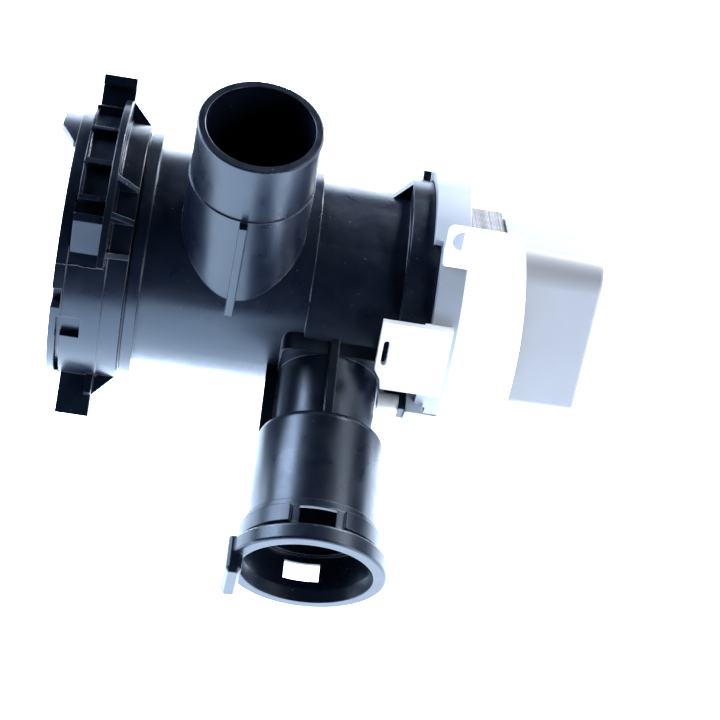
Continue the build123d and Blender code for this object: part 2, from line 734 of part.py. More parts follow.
with BuildPart() as stator_core:
    with BuildSketch(motor_plane(CORE_START)):
        motor_box(CORE_FRONT, CORE_BACK, -CORE_HALF_WIDTH, CORE_HALF_WIDTH)
        Circle(ROTOR_CAN_R + 0.3, mode=Mode.SUBTRACT)
        motor_box(YOKE_BACK, 10.0, -17.0, 17.0, Mode.SUBTRACT)
        rivet_circles(RIVET_R, Mode.SUBTRACT)
    extrude(amount=CORE_END - CORE_START)
finish(stator_core, "stator_core")

with BuildPart() as core_rivets:
    with BuildSketch(motor_plane(FRAME_START)):
        rivet_circles(RIVET_R)
    extrude(amount=CORE_END - FRAME_START)
    for start, height in ((FRAME_START, -1.2), (CORE_END, 1.2)):
        with BuildSketch(motor_plane(start)):
            rivet_circles(2.7)
        extrude(amount=height)
finish(core_rivets, "core_rivets")

with BuildPart() as coil_bobbin:
    with BuildSketch(motor_plane(CORE_START - BOBBIN_WALL)):
        motor_box(CORE_FRONT + BOBBIN_WALL, YOKE_BACK - BOBBIN_WALL, -BOBBIN_HALF, BOBBIN_HALF)
    extrude(amount=CORE_END - CORE_START + 2 * BOBBIN_WALL)
    for side in (-1, 1):
        flange_mid = side * (BOBBIN_HALF - FLANGE_THICKNESS / 2)
        with BuildSketch(motor_plane(CORE_START - WINDING_DEPTH - 0.4)):
            with Locations((-(WINDING_BACK + WINDING_FRONT) / 2, flange_mid)):
                Rectangle(WINDING_FRONT - WINDING_BACK + 0.6, FLANGE_THICKNESS)
        extrude(amount=CORE_END - CORE_START + 2 * WINDING_DEPTH + 0.8)
    with BuildSketch(motor_plane(CORE_START)):
        motor_box(CORE_FRONT, YOKE_BACK, -BOBBIN_HALF - 1, BOBBIN_HALF + 1)
    extrude(amount=CORE_END - CORE_START, mode=Mode.SUBTRACT)
finish(coil_bobbin, "coil_bobbin")

winding_half = BOBBIN_HALF - FLANGE_THICKNESS
with BuildPart() as coil_winding:
    with BuildSketch(motor_plane(CORE_START - WINDING_DEPTH)):
        motor_box(WINDING_FRONT, WINDING_BACK, -winding_half, winding_half)
    extrude(amount=CORE_END - CORE_START + 2 * WINDING_DEPTH)
    lengthwise = coil_winding.edges().filter_by(Axis(origin=(0, 0, 0), direction=MOTOR_UP))
    fillet(lengthwise, 2.4)
    with BuildSketch(motor_plane(CORE_START - BOBBIN_WALL)):
        motor_box(
            CORE_FRONT + BOBBIN_WALL, YOKE_BACK - BOBBIN_WALL, -BOBBIN_HALF, BOBBIN_HALF
        )
    extrude(amount=CORE_END - CORE_START + 2 * BOBBIN_WALL, mode=Mode.SUBTRACT)
finish(coil_winding, "coil_winding")

# Coil cover with the bare label face, terminals and rear cover
COVER_FACE = 34.0
COVER_BACK = 24.0
COVER_LEFT = 120.5
COVER_RIGHT = 151.3
COVER_BULGE_AT = -8.0
COVER_BULGE_R = 174.0
COVER_TOP = 40.4
COVER_BOTTOM = -36.0
COVER_ROUND = 2.0
COVER_POCKET_FRONT = 32.3
EAR_START = 31.0
EAR_BACK = 32.0
EAR_HOLE_X = 125.9
EAR_HOLE_UP = 35.5
EAR_HOLE_R = 3.7
BLADE_WIDTH = 4.8
BLADE_THICKNESS = 0.8
BLADE_STATIONS = (132.5, 142.5)
BLADE_FRONT = 29.5
BLADE_START = 29.0
BLADE_LENGTH = 13.5
REAR_START = 144.2
REAR_END = 176.7
REAR_FRONT = 18.2
REAR_BACK = -20.0
REAR_TOP = 28.0
REAR_BOTTOM = -27.0
REAR_WALL = 1.6
REAR_DRAFT = 2.2
REAR_TOP_ROUND = 10.0
REAR_BOTTOM_ROUND = 2.6
REAR_EDGE_ROUND = 1.4


def face_plane(front):
    """Plane facing the label side: local X is +X and local Y is up the label."""
    origin = (0, front * MOTOR_FRONT[1], front * MOTOR_FRONT[2])
    return Plane(origin=origin, x_dir=(1, 0, 0), z_dir=MOTOR_FRONT)


def blade_plane(up):
    """Plane across the terminal blades, facing down the label."""
    origin = (0, up * MOTOR_UP[1], up * MOTOR_UP[2])
    down = (0, -MOTOR_UP[1], -MOTOR_UP[2])
    return Plane(origin=origin, x_dir=(1, 0, 0), z_dir=down)


def cover_edge(up):
    """Place of the cover's bulging right edge at a height on the label."""
    return COVER_RIGHT - (up - COVER_BULGE_AT) ** 2 / (2 * COVER_BULGE_R)


def rear_outline(inset):
    """Section of the rear cover where it opens, moved inwards by the inset."""
    with BuildSketch() as section:
        motor_box(REAR_FRONT - inset, REAR_BACK + inset, REAR_BOTTOM + inset, REAR_TOP - inset)
        corners = section.vertices().sort_by(Axis.Y)
        fillet(corners[-2:], REAR_TOP_ROUND - inset)
        fillet(section.vertices().sort_by(Axis.Y)[:2], REAR_BOTTOM_ROUND - inset)
    return section.sketch


def blade_sections():
    """Section of both blades: local Y of the blade plane points to the label side or away."""
    side = 1 if blade_plane(0).y_dir.Y < 0 else -1
    for station in BLADE_STATIONS:
        with Locations((station, side * BLADE_FRONT)):
            Rectangle(BLADE_WIDTH, BLADE_THICKNESS)


with BuildPart() as coil_cover:
    with BuildSketch(face_plane(COVER_BACK)):
        with BuildLine():
            bottom = Line((cover_edge(COVER_BOTTOM), COVER_BOTTOM), (COVER_LEFT, COVER_BOTTOM))
            left = Line(bottom @ 1, (COVER_LEFT, COVER_TOP))
            top = Line(left @ 1, (cover_edge(COVER_TOP), COVER_TOP))
            ThreePointArc(top @ 1, (COVER_RIGHT, COVER_BULGE_AT), bottom @ 0)
        make_face()
    extrude(amount=COVER_FACE - COVER_BACK)
    fillet(coil_cover.edges().filter_by(Axis(origin=(0, 0, 0), direction=MOTOR_FRONT)), COVER_ROUND)
    fillet(coil_cover.faces().sort_by(Axis(origin=(0, 0, 0), direction=MOTOR_FRONT))[-1].edges(), 0.8)
    with BuildSketch(face_plane(COVER_BACK - 1)):
        with Locations(((COVER_LEFT + COVER_RIGHT) / 2, 0)):
            Rectangle(COVER_RIGHT - COVER_LEFT + 10, 2 * CORE_HALF_WIDTH + 0.2)
    extrude(amount=CORE_FRONT + 0.05 - COVER_BACK + 1, mode=Mode.SUBTRACT)
    # The upper ear is a thin plate with a D-shaped hole
    with BuildSketch(face_plane(COVER_BACK - 1)):
        with Locations(((COVER_LEFT + COVER_RIGHT) / 2, EAR_START + 10)):
            Rectangle(COVER_RIGHT - COVER_LEFT + 10, 20)
    extrude(amount=EAR_BACK - COVER_BACK + 1, mode=Mode.SUBTRACT)
    with BuildSketch(face_plane(EAR_BACK - 1)):
        with Locations((EAR_HOLE_X, EAR_HOLE_UP)):
            Circle(EAR_HOLE_R)
        with Locations((EAR_HOLE_X + EAR_HOLE_R / 2, EAR_HOLE_UP)):
            Rectangle(EAR_HOLE_R, 2 * EAR_HOLE_R, mode=Mode.SUBTRACT)
    extrude(amount=COVER_FACE - EAR_BACK + 2, mode=Mode.SUBTRACT)
    with BuildSketch(face_plane(CORE_FRONT)):
        with Locations(((CORE_START + CORE_END) / 2, 0)):
            Rectangle(CORE_END - CORE_START + 2 * WINDING_DEPTH + 1.4, 2 * BOBBIN_HALF + 0.8)
    extrude(amount=COVER_POCKET_FRONT - CORE_FRONT, mode=Mode.SUBTRACT)
    with BuildSketch(cross_plane(COVER_LEFT - 1)):
        Circle(MOTOR_FLANGE_R + 0.2)
    extrude(amount=MOTOR_FLANGE_END + 0.1 - COVER_LEFT + 1, mode=Mode.SUBTRACT)
    with BuildSketch(radial_plane(SCREW_ANGLE, COVER_LEFT - 1)):
        with Locations((SCREW_AT + 1.2, 0)):
            Rectangle(10.0, 10.0)
    extrude(amount=DISC_END + 0.2 - COVER_LEFT + 1, mode=Mode.SUBTRACT)
    with BuildSketch(blade_plane(-BLADE_START)):
        blade_sections()
    extrude(amount=10, mode=Mode.SUBTRACT)
finish(coil_cover, "coil_cover")

with BuildPart() as terminal_blades:
    with BuildSketch(blade_plane(-BLADE_START)):
        blade_sections()
    extrude(amount=BLADE_LENGTH)
finish(terminal_blades, "terminal_blades")

with BuildPart() as rear_cover:
    with BuildSketch(motor_plane(REAR_START)):
        add(rear_outline(0))
    extrude(amount=REAR_END - REAR_START, taper=REAR_DRAFT)
    fillet(rear_cover.faces().sort_by(Axis.X)[-1].edges(), REAR_EDGE_ROUND)
    with BuildSketch(motor_plane(REAR_START)):
        add(rear_outline(REAR_WALL))
    extrude(amount=REAR_END - REAR_START - REAR_WALL, taper=REAR_DRAFT, mode=Mode.SUBTRACT)
    with BuildSketch(motor_plane(REAR_START)):
        motor_box(REAR_FRONT + 1, REAR_FRONT - 4, -BOBBIN_HALF - 0.8, BOBBIN_HALF + 0.8)
    extrude(amount=CORE_END + WINDING_DEPTH + 0.8 - REAR_START, mode=Mode.SUBTRACT)
finish(rear_cover, "rear_cover")

# Bracket that locks the motor on the housing, and its screw
SCREW_HEAD_START = 108.5
SCREW_HEAD_R = 3.2
SCREW_SOCKET_R = 1.8
BRACKET_INNER = 43.2
BRACKET_OUTER = 45.7
BRACKET_START = 104.5
BRACKET_END = 127.0
BRACKET_TOP = 9.6
BRACKET_BOTTOM = -14.0
BRACKET_SLANT_AT = -7.4
POST_START = MOTOR_COLLAR_END + 0.6
POST_INNER = 34.5
SLOT_LENGTH = 8.5
SLOT_WIDTH = 1.9
SLOT_X = 106.85
SLOT_UP = -1.2

with BuildPart() as lock_bracket:
    with BuildSketch(face_plane(BRACKET_INNER)):
        with BuildLine():
            Polyline(
                (BRACKET_START, BRACKET_TOP),
                (BRACKET_END, BRACKET_TOP),
                (BRACKET_END, BRACKET_BOTTOM),
                (BRACKET_START + 2.8, BRACKET_BOTTOM),
                (BRACKET_START + 2.2, (BRACKET_BOTTOM + BRACKET_SLANT_AT) / 2),
                (BRACKET_START, BRACKET_SLANT_AT),
                close=True,
            )
        make_face()
    extrude(amount=BRACKET_OUTER - BRACKET_INNER)
    with BuildSketch(face_plane(POST_INNER)):
        with Locations(((POST_START + BRACKET_END) / 2, (BRACKET_TOP + BRACKET_BOTTOM) / 2)):
            Rectangle(BRACKET_END - POST_START, BRACKET_TOP - BRACKET_BOTTOM)
    extrude(amount=BRACKET_INNER - POST_INNER)
    with BuildSketch(cross_plane(MOTOR_COLLAR_END)):
        Circle(MOTOR_FLANGE_R)
    extrude(amount=14, mode=Mode.SUBTRACT)
    with BuildSketch(face_plane(BRACKET_INNER - 1)):
        with Locations((SLOT_X, SLOT_UP)):
            SlotOverall(SLOT_LENGTH, SLOT_WIDTH, rotation=90)
    extrude(amount=BRACKET_OUTER - BRACKET_INNER + 2, mode=Mode.SUBTRACT)
finish(lock_bracket, "lock_bracket")

with BuildPart() as motor_screw:
    for start, end, radius in ((SCREW_HEAD_START, LUG_START, SCREW_HEAD_R), (LUG_START, DISC_END, SCREW_R)):
        with BuildSketch(radial_plane(SCREW_ANGLE, start)):
            with Locations((SCREW_AT, 0)):
                Circle(radius)
        extrude(amount=end - start)
    with BuildSketch(radial_plane(SCREW_ANGLE, SCREW_HEAD_START)):
        with Locations((SCREW_AT, 0)):
            RegularPolygon(SCREW_SOCKET_R, 6)
    extrude(amount=3.0, mode=Mode.SUBTRACT)
finish(motor_screw, "motor_screw")
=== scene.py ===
import math

import bpy
from bpy.props import FloatProperty, FloatVectorProperty, IntProperty, PointerProperty
from mathutils import Matrix, Vector


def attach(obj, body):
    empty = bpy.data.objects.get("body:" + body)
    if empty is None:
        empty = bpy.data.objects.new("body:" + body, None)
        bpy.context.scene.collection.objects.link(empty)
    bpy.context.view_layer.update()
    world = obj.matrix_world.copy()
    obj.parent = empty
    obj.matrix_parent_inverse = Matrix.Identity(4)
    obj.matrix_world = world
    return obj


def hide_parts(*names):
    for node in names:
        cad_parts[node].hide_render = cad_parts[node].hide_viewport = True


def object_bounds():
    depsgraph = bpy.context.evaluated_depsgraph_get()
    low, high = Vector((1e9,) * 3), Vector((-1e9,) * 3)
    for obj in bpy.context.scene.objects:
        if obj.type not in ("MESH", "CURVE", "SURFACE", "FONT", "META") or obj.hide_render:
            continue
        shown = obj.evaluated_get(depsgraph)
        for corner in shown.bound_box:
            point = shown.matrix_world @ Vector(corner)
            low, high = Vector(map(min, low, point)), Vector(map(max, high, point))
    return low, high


bl_info = {
    "name": "Drain pump finish",
    "version": (1, 0, 0),
    "blender": (4, 5, 0),
    "location": "View3D > Sidebar > Drain pump",
    "description": "Finishes, fine detail and studio for a washing machine drain pump",
    "category": "Object",
}

MM = 0.001
# How far the drawn lines of a metal are stretched on each axis
ALONG_X = (0.15, 1.0, 1.0)
ACROSS_X = (1.0, 0.15, 0.15)
NO_STRETCH = (1.0, 1.0, 1.0)
# One sheet of the laminated core
SHEET_THICKNESS = 0.5 * MM

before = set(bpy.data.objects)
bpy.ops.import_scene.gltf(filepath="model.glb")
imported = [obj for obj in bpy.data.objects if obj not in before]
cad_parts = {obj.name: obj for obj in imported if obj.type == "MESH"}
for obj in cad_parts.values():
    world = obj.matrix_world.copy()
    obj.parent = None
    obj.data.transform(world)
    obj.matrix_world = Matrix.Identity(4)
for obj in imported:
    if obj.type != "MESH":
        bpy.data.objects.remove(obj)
CAD_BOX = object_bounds()

# The mould's parting line on the collar, from the outlet side towards the top
FLASH_ANGLE = math.radians(39.4)
# Each run of the flash on its own step of the collar: name, then start and end along X and radius in mm
FLASH_RUNS = (
    ("rim_flash", 0.4, 3.55, 43.5),
    ("band_flash", 3.65, 15.4, 43.0),
)
# The size of the flash's waves, how far they sway, and the cuts that let it bend
FLASH_WAVE = 2.2 * MM
FLASH_SWAY = 1.1 * MM
FLASH_CUTS = 30
# Faces that meet at less than this angle are shaded as one surface
SMOOTH_ANGLE = math.radians(40)
# The motor block leans back by this angle: up is along the bare label face
MOTOR_TILT = math.radians(25)
# The coil in the motor block's own directions: centre, half sizes across, height and corner radius
COIL_CENTRE = Vector((137.5, -24.25, 0)) * MM
COIL_HALF_WIDTH = 10.1 * MM
COIL_HALF_DEPTH = 7.25 * MM
COIL_HEIGHT = 28.0 * MM
COIL_CORNER = 2.4 * MM
# A point this near to an axis lies on it
ON_AXIS = 0.001 * MM
# The photographed view, in the frame of the model
CAMERA_PLACE = (0.044155, -0.442304, 0.507026)
CAMERA_RIGHT = (0.9849, 0.0626, 0.1614)
CAMERA_UP = (-0.1497, 0.7763, 0.6123)
CAMERA_BACK = (-0.0869, -0.6272, 0.7740)
CAMERA_LENS = 99.8
# The middle of the floor along X
FLOOR_X = 0.09
# The point on the model that every lamp is aimed at
LAMP_TARGET = Vector((0.09, -0.02, 0.0))
# Each lamp: name, place, side of its square, share of the lamp power, and colour
LAMPS = (
    ("left_softbox", (-0.64, 0.52, 0.46), 0.55, 2.5, (0.7, 0.82, 1.0)),
    ("right_strip", (0.55, 0.52, 0.68), 0.1, 0.3, (0.9, 0.96, 1.0)),
    ("back_softbox", (0.6, 0.85, 0.45), 0.3, 2.4, (0.97, 0.98, 1.0)),
    ("top_softbox", (0.8, 0.1, 0.75), 0.35, 0.5, (0.95, 0.97, 1.0)),
    ("front_softbox", (0.75, -0.62, 0.36), 0.35, 0.65, (1.0, 0.985, 0.97)),
)
# The light table fades from its front glow to its back glow between these places along Y
GLOW_FADE = (0.02, 0.16)
FRONT_GLOW = (0.64, 0.8, 1.0, 1)
BACK_GLOW = (0.19, 0.25, 0.34, 1)


# Node tree helpers


def make_node(tree, kind, inputs=None, **settings):
    """Adds a shader node, sets its options, and links or sets its inputs."""
    made = tree.nodes.new("ShaderNode" + kind)
    for name, value in settings.items():
        setattr(made, name, value)
    for key, value in (inputs or {}).items():
        if isinstance(value, bpy.types.NodeSocket):
            tree.links.new(value, made.inputs[key])
        else:
            made.inputs[key].default_value = value
    return made


def maths(tree, operation, a, b=0.0, clamp=False):
    """One Math node's output."""
    return make_node(tree, "Math", {0: a, 1: b}, operation=operation, use_clamp=clamp).outputs[0]


def mix_colour(tree, factor, a, b):
    """One Mix node's colour output."""
    made = make_node(tree, "Mix", {0: factor, 6: a, 7: b}, data_type="RGBA")
    return made.outputs[2]


def remap(tree, value, low, high, to_low, to_high):
    """One Map Range node's output, clamped."""
    made = make_node(
        tree, "MapRange",
        {"Value": value, "From Min": low, "From Max": high, "To Min": to_low, "To Max": to_high},
    )
    return made.outputs["Result"]


def start_group(name, inputs, outputs):
    """A shader node group with named sockets, and its input node's outputs."""
    group = bpy.data.node_groups.new(name, "ShaderNodeTree")
    for label, kind, default in inputs:
        socket = group.interface.new_socket(name=label, in_out="INPUT", socket_type=kind)
        socket.default_value = default
    for label, kind in outputs:
        group.interface.new_socket(name=label, in_out="OUTPUT", socket_type=kind)
    return group, group.nodes.new("NodeGroupInput").outputs, group.nodes.new("NodeGroupOutput").inputs


def moulded_skin_group():
    """Moulded plastic: colour drift, smudges, dust specks, spark grain and rounded, rubbed edges."""
    found = bpy.data.node_groups.get("moulded_skin")
    if found:
        return found
    tree, given, put = start_group(
        "moulded_skin",
        (
            ("Colour", "NodeSocketColor", (0.5, 0.5, 0.5, 1)),
            ("Drift Colour", "NodeSocketColor", (0.5, 0.5, 0.5, 1)),
            ("Rubbed Colour", "NodeSocketColor", (0.5, 0.5, 0.5, 1)),
            ("Roughness", "NodeSocketFloat", 0.4),
            ("Smudge", "NodeSocketFloat", 0.1),
            ("Grain Scale", "NodeSocketFloat", 2200.0),
            ("Grain Depth", "NodeSocketFloat", 0.02),
            ("Edge Radius", "NodeSocketFloat", 0.0004),
            ("Rubbing", "NodeSocketFloat", 0.5),
            ("Dust", "NodeSocketFloat", 0.2),
        ),
        (("Colour", "NodeSocketColor"), ("Roughness", "NodeSocketFloat"), ("Normal", "NodeSocketVector")),
    )
    place = make_node(tree, "TexCoord").outputs["Object"]
    drift = make_node(tree, "TexNoise", {"Vector": place, "Scale": 24.0, "Detail": 3.0}).outputs["Fac"]
    smudge = make_node(
        tree, "TexNoise", {"Vector": place, "Scale": 130.0, "Detail": 5.0, "Distortion": 0.6}
    ).outputs["Fac"]
    grain = make_node(
        tree, "TexNoise", {"Vector": place, "Scale": given["Grain Scale"], "Detail": 2.0}
    ).outputs["Fac"]
    rounded = make_node(tree, "Bevel", {"Radius": given["Edge Radius"]}, samples=6).outputs[0]
    flat = make_node(tree, "NewGeometry").outputs["Normal"]
    agree = make_node(tree, "VectorMath", {0: rounded, 1: flat}, operation="DOT_PRODUCT").outputs["Value"]
    edge = remap(tree, agree, 0.995, 0.86, 0.0, 1.0)
    patchy = remap(tree, smudge, 0.35, 0.65, 0.25, 1.0)
    rubbed = maths(tree, "MULTIPLY", maths(tree, "MULTIPLY", edge, patchy), given["Rubbing"], True)
    speck = make_node(tree, "TexVoronoi", {"Vector": place, "Scale": 240.0}).outputs["Distance"]
    dust = maths(tree, "MULTIPLY", remap(tree, speck, 0.075, 0.045, 0.0, 1.0), given["Dust"], True)
    body = mix_colour(tree, remap(tree, drift, 0.35, 0.65, 0.0, 1.0), given["Colour"], given["Drift Colour"])
    worn = mix_colour(tree, maths(tree, "MAXIMUM", rubbed, dust), body, given["Rubbed Colour"])
    tree.links.new(worn, put["Colour"])
    shift = maths(tree, "MULTIPLY", remap(tree, smudge, 0.3, 0.7, -1.0, 1.0), given["Smudge"])
    rough = maths(tree, "ADD", given["Roughness"], shift)
    tree.links.new(maths(tree, "ADD", rough, maths(tree, "MULTIPLY", dust, 0.4), True), put["Roughness"])
    bump = make_node(
        tree, "Bump",
        {"Strength": given["Grain Depth"], "Distance": 0.0002, "Height": grain, "Normal": rounded},
    )
    tree.links.new(bump.outputs["Normal"], put["Normal"])
    return tree


def worked_metal_group():
    """Metal with fine drawn lines along X, dull stained patches, and rounded edges."""
    found = bpy.data.node_groups.get("worked_metal")
    if found:
        return found
    tree, given, put = start_group(
        "worked_metal",
        (
            ("Colour", "NodeSocketColor", (0.6, 0.6, 0.6, 1)),
            ("Dull Colour", "NodeSocketColor", (0.4, 0.4, 0.4, 1)),
            ("Roughness", "NodeSocketFloat", 0.3),
            ("Line Depth", "NodeSocketFloat", 0.1),
            ("Stretch", "NodeSocketVector", (1.0, 1.0, 1.0)),
            ("Edge Radius", "NodeSocketFloat", 0.0002),
        ),
        (("Colour", "NodeSocketColor"), ("Roughness", "NodeSocketFloat"), ("Normal", "NodeSocketVector")),
    )
    place = make_node(tree, "TexCoord").outputs["Object"]
    along = make_node(tree, "VectorMath", {0: place, 1: given["Stretch"]}, operation="MULTIPLY").outputs[0]
    lines = make_node(tree, "TexNoise", {"Vector": along, "Scale": 900.0, "Detail": 4.0}).outputs["Fac"]
    stain = make_node(tree, "TexNoise", {"Vector": place, "Scale": 190.0, "Detail": 4.0}).outputs["Fac"]
    rounded = make_node(tree, "Bevel", {"Radius": given["Edge Radius"]}, samples=4).outputs[0]
    dull = remap(tree, stain, 0.4, 0.7, 0.0, 0.8)
    tree.links.new(mix_colour(tree, dull, given["Colour"], given["Dull Colour"]), put["Colour"])
    spread = remap(tree, lines, 0.3, 0.7, -0.08, 0.12)
    shift = maths(tree, "ADD", spread, maths(tree, "MULTIPLY", dull, 0.12))
    rough = maths(tree, "ADD", given["Roughness"], shift)
    tree.links.new(rough, put["Roughness"])
    bump = make_node(
        tree, "Bump",
        {"Strength": given["Line Depth"], "Distance": 0.0001, "Height": lines, "Normal": rounded},
    )
    tree.links.new(bump.outputs["Normal"], put["Normal"])
    return tree


def stacked_sheet_group():
    """Laminated steel: sheets stacked along X, each a little different, with rust in the gaps."""
    found = bpy.data.node_groups.get("stacked_sheet")
    if found:
        return found
    tree, given, put = start_group(
        "stacked_sheet",
        (
            ("Colour", "NodeSocketColor", (0.4, 0.4, 0.4, 1)),
            ("Gap Colour", "NodeSocketColor", (0.1, 0.08, 0.07, 1)),
            ("Sheet Thickness", "NodeSocketFloat", SHEET_THICKNESS),
        ),
        (("Colour", "NodeSocketColor"), ("Roughness", "NodeSocketFloat"), ("Normal", "NodeSocketVector")),
    )
    place = make_node(tree, "TexCoord").outputs["Object"]
    along = make_node(tree, "SeparateXYZ", {0: place}).outputs["X"]
    count = maths(tree, "DIVIDE", along, given["Sheet Thickness"])
    part = maths(tree, "FRACT", count)
    gap = remap(tree, maths(tree, "ABSOLUTE", maths(tree, "SUBTRACT", part, 0.5)), 0.36, 0.48, 0.0, 1.0)
    number = maths(tree, "FLOOR", count)
    tone = make_node(tree, "TexWhiteNoise", {"W": number}, noise_dimensions="1D").outputs["Value"]
    stain = make_node(tree, "TexNoise", {"Vector": place, "Scale": 260.0, "Detail": 5.0}).outputs["Fac"]
    shade = maths(tree, "MULTIPLY", maths(tree, "ADD", tone, stain), 0.45, True)
    normal = make_node(tree, "NewGeometry").outputs["Normal"]
    side = maths(tree, "ABSOLUTE", make_node(tree, "SeparateXYZ", {0: normal}).outputs["X"])
    on_edge = remap(tree, side, 0.5, 0.4, 0.0, 1.0)
    dark = maths(tree, "MULTIPLY", gap, on_edge)
    body = mix_colour(tree, shade, given["Colour"], given["Gap Colour"])
    tree.links.new(mix_colour(tree, dark, body, given["Gap Colour"]), put["Colour"])
    tree.links.new(remap(tree, maths(tree, "ADD", stain, dark), 0.3, 1.2, 0.32, 0.7), put["Roughness"])
    height = maths(tree, "SUBTRACT", maths(tree, "MULTIPLY", stain, 0.2), dark)
    bump = make_node(tree, "Bump", {"Strength": 0.6, "Distance": 0.0002, "Height": height})
    tree.links.new(bump.outputs["Normal"], put["Normal"])
    return tree


def new_material(name, group, values, **sockets):
    """A material whose colour, roughness and normal come from a group; the rest is set on the shader."""
    material = bpy.data.materials.new(name)
    material.use_nodes = True
    tree = material.node_tree
    shader = tree.nodes["Principled BSDF"]
    effect = tree.nodes.new("ShaderNodeGroup")
    effect.node_tree = group
    for key, value in values.items():
        effect.inputs[key].default_value = value
    tree.links.new(effect.outputs["Colour"], shader.inputs["Base Color"])
    tree.links.new(effect.outputs["Roughness"], shader.inputs["Roughness"])
    tree.links.new(effect.outputs["Normal"], shader.inputs["Normal"])
    for key, value in sockets.items():
        shader.inputs[key.replace("_", " ").title().replace("Ior", "IOR")].default_value = value
    return material


def opaque(colour):
    """A colour with full alpha."""
    return (*colour, 1.0)


def dress(names, material):
    """Gives CAD nodes one finish."""
    for name in names:
        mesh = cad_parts[name].data
        mesh.materials.clear()
        mesh.materials.append(material)


def plastic(colour, drift, rubbed, **other):
    """A moulded plastic with its own values."""
    settings = bpy.context.scene.pump_surface
    values = {
        "Colour": opaque(colour),
        "Drift Colour": opaque(drift),
        "Rubbed Colour": opaque(rubbed),
        "Edge Radius": settings.edge_round,
        "Grain Scale": settings.grain_scale,
    }
    values["Grain Depth"] = other.pop("grain", settings.grain_depth)
    values.update(other)
    return values


# Settings


class PumpSurface(bpy.types.PropertyGroup):
    """Colours and surface of the plastics."""

    housing_colour: FloatVectorProperty(
        name="Housing colour", description="Black of the pump housing", subtype="COLOR",
        size=3, min=0, max=1, default=(0.0014, 0.003, 0.008))
    white_colour: FloatVectorProperty(
        name="White plastic", description="Bracket, cover, can, frame and bobbin", subtype="COLOR",
        size=3, min=0, max=1, default=(0.84, 0.85, 0.86))
    # Painted shade: the motor flange's white plastic, darkened and tinted blue
    flange_painted_shade_colour: FloatVectorProperty(
        name="Motor flange", description="Milky bluish white of the motor flange", subtype="COLOR",
        size=3, min=0, max=1, default=(0.29, 0.325, 0.385))
    rear_colour: FloatVectorProperty(
        name="Rear cover", description="Grey plastic of the motor's rear cover", subtype="COLOR",
        size=3, min=0, max=1, default=(0.225, 0.232, 0.255))
    edge_round: FloatProperty(
        name="Edge round", description="Radius of the rounded moulded edges", subtype="DISTANCE",
        unit="LENGTH", min=0, default=0.0005)
    grain_scale: FloatProperty(
        name="Grain scale", description="Fineness of the spark grain", min=1, default=2300.0)
    grain_depth: FloatProperty(
        name="Grain depth", description="Strength of the spark grain", min=0, max=1, default=0.035)


class PumpDetail(bpy.types.PropertyGroup):
    """Sizes of the fine pieces."""

    wire_radius: FloatProperty(
        name="Wire radius", description="Radius of the coil's enamelled wire", subtype="DISTANCE",
        unit="LENGTH", min=0.0001, default=0.00036)
    wire_turns: IntProperty(
        name="Turns in sight", description="Turns of the coil's outer layer", min=2, default=38)
    flash_height: FloatProperty(
        name="Flash height", description="Height of the parting flash on the collar", subtype="DISTANCE",
        unit="LENGTH", min=0, default=0.00022)


class PumpStudio(bpy.types.PropertyGroup):
    """Floor, lights and camera."""

    floor_size: FloatProperty(
        name="Floor size", description="Side of the pale floor", subtype="DISTANCE", unit="LENGTH",
        min=1, default=6.0)
    floor_glow: FloatProperty(
        name="Floor glow", description="Light that the light table gives", min=0, default=5.5)
    lamp_power: FloatProperty(
        name="Lamp power", description="Power that each lamp takes its share of", min=0, default=9.0)
    sky: FloatProperty(
        name="Room light", description="Strength of the even light from the room", min=0, default=0.05)


# Mesh helpers


def deselect_all():
    """Leaves nothing selected, in object mode."""
    if bpy.context.object and bpy.context.object.mode != "OBJECT":
        bpy.ops.object.mode_set(mode="OBJECT")
    bpy.ops.object.select_all(action="DESELECT")


def settle(piece, name, body, material):
    """Puts a finished piece's place into its mesh, names it and hangs it on its body."""
    deselect_all()
    piece.select_set(True)
    bpy.context.view_layer.objects.active = piece
    bpy.ops.object.transform_apply(location=True, rotation=True, scale=True)
    piece.name = name
    piece.data.name = name
    piece.data.materials.clear()
    piece.data.materials.append(material)
    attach(piece, body)
    piece.select_set(False)


# Studio


def make_floor(studio):
    """A pale floor that glows as a light table does, less so behind the pump."""
    deselect_all()
    bpy.ops.mesh.primitive_plane_add(size=studio.floor_size, location=(FLOOR_X, 0, CAD_BOX[0].z))
    floor = bpy.context.object
    floor.name = "floor"
    material = bpy.data.materials.new("pale_floor")
    material.use_nodes = True
    tree = material.node_tree
    shader = tree.nodes["Principled BSDF"]
    place = make_node(tree, "TexCoord").outputs["Object"]
    mottle = make_node(tree, "TexNoise", {"Vector": place, "Scale": 3.0}).outputs["Fac"]
    tone = mix_colour(tree, mottle, (0.86, 0.87, 0.9, 1), (0.9, 0.9, 0.91, 1))
    tree.links.new(tone, shader.inputs["Base Color"])
    shader.inputs["Roughness"].default_value = 0.7
    depth = make_node(tree, "SeparateXYZ", {0: place}).outputs["Y"]
    fade = remap(tree, depth, *GLOW_FADE, 0.0, 1.0)
    tree.links.new(mix_colour(tree, fade, FRONT_GLOW, BACK_GLOW), shader.inputs["Emission Color"])
    shader.inputs["Emission Strength"].default_value = studio.floor_glow
    floor.data.materials.append(material)


def make_room(studio):
    """Even bluish light from all sides."""
    world = bpy.data.worlds.new("studio_room")
    world.use_nodes = True
    back = world.node_tree.nodes["Background"]
    back.inputs["Color"].default_value = (0.36, 0.6, 1.0, 1)
    back.inputs["Strength"].default_value = studio.sky
    bpy.context.scene.world = world


